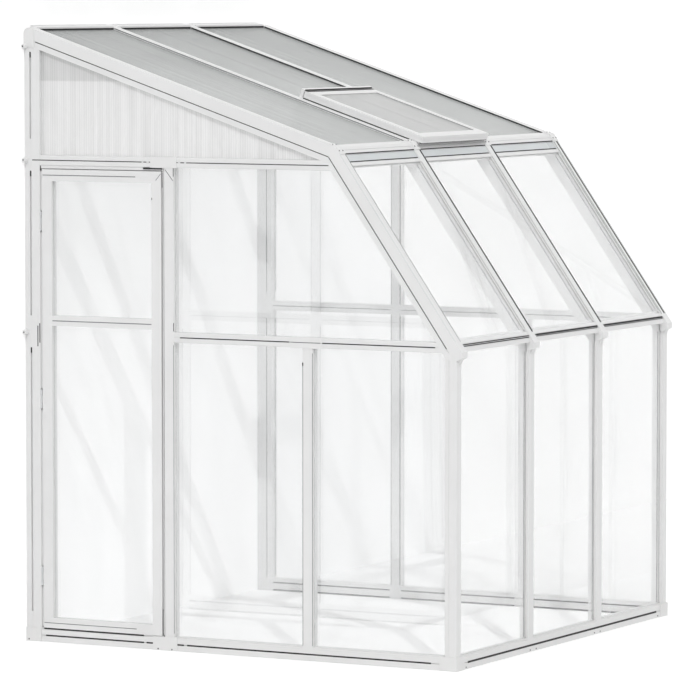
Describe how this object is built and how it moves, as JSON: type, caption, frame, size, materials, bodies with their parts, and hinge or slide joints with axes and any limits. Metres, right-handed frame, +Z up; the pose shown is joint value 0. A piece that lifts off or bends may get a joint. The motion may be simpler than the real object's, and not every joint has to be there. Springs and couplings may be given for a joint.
{
  "type": "lean-to greenhouse",
  "caption": "White framed lean-to greenhouse with clear walls, a steep lower and a shallow upper roof slope, a hinged gable door and a top-hung roof vent with a stay.",
  "frame": {"origin": "middle of the base on the ground, under the centre of the bounding box", "axes": "+Z up; +Y square to the house wall, towards it; +X along the wall, away from the gable with the door"},
  "size_m": [1.95, 1.9624, 2.4722],
  "materials": {
    "white_frame": "satin white powder coat",
    "moulded_connector": "white moulded plastic, fine grain",
    "clear_panel": "clear flat glazing sheet",
    "twin_wall_panel": "translucent twin-wall sheet with fine flutes",
    "hinge_metal": "satin",
    "dark_fitting": "matt dark grey"
  },
  "bodies": {
    "frame": {"base_rail_front": "white_frame", "base_rail_left": "white_frame", "base_rail_right": "white_frame", "corner_post_left": "white_frame", "corner_post_right": "white_frame", "front_post_left": "white_frame", "front_post_right": "white_frame", "wall_post_left": "white_frame", "wall_post_right": "white_frame", "jamb_post": "white_frame", "gable_post_right": "white_frame", "half_post_left": "white_frame", "half_post_right": "white_frame", "head_rail_left": "white_frame", "head_rail_right": "white_frame", "mid_rail_left": "white_frame", "mid_rail_right": "white_frame", "eave_rail": "white_frame", "knee_rail": "white_frame", "wall_top_rail": "white_frame", "upper_rafter_1": "white_frame", "upper_rafter_2": "white_frame", "upper_rafter_3": "white_frame", "upper_rafter_4": "white_frame", "lower_rafter_1": "white_frame", "lower_rafter_2": "white_frame", "lower_rafter_3": "white_frame", "lower_rafter_4": "white_frame", "base_connectors": "moulded_connector", "rail_couplers": "moulded_connector", "knee_connectors": "moulded_connector", "eave_connectors": "moulded_connector", "ridge_caps": "moulded_connector", "front_panels": "clear_panel", "side_panels_left": "clear_panel", "side_panels_right": "clear_panel", "upper_panel_left": "clear_panel", "upper_panels_right": "clear_panel", "gable_panel_left": "twin_wall_panel", "gable_panel_right": "twin_wall_panel", "steep_panels": "clear_panel", "roof_panels": "twin_wall_panel", "vent_curb": "white_frame", "vent_trimmer": "white_frame", "door_stop": "white_frame", "door_catch": "dark_fitting", "door_hinge_frame_leaves": "hinge_metal", "vent_hinge_frame_leaves": "hinge_metal", "stay_peg": "dark_fitting"},
    "door": {"door_hinge_stile": "white_frame", "door_latch_stile": "white_frame", "door_rails": "white_frame", "door_upper_panel": "clear_panel", "door_lower_panel": "clear_panel", "door_hinge_leaves": "hinge_metal"},
    "vent": {"vent_sash": "white_frame", "vent_panel": "twin_wall_panel", "vent_hinge_leaves": "hinge_metal", "stay_bracket": "dark_fitting"},
    "stay": {"stay_arm": "hinge_metal"}
  },
  "joints": [
    {"name": "door_hinge", "type": "hinge", "parent": "frame", "child": "door", "pos_m": [-0.968, 0.90625, 1], "axis": [0, 0, -1], "range_deg": [0, 90]},
    {"name": "vent_hinge", "type": "hinge", "parent": "frame", "child": "vent", "pos_m": [0, 0.07624, 2.20321], "axis": [-1, 0, 0], "range_deg": [0, 40]},
    {"name": "stay_pivot", "type": "hinge", "parent": "vent", "child": "stay", "pos_m": [0, -0.38525, 2.03157], "axis": [-1, 0, 0], "range_deg": [0, 80]}
  ]
}
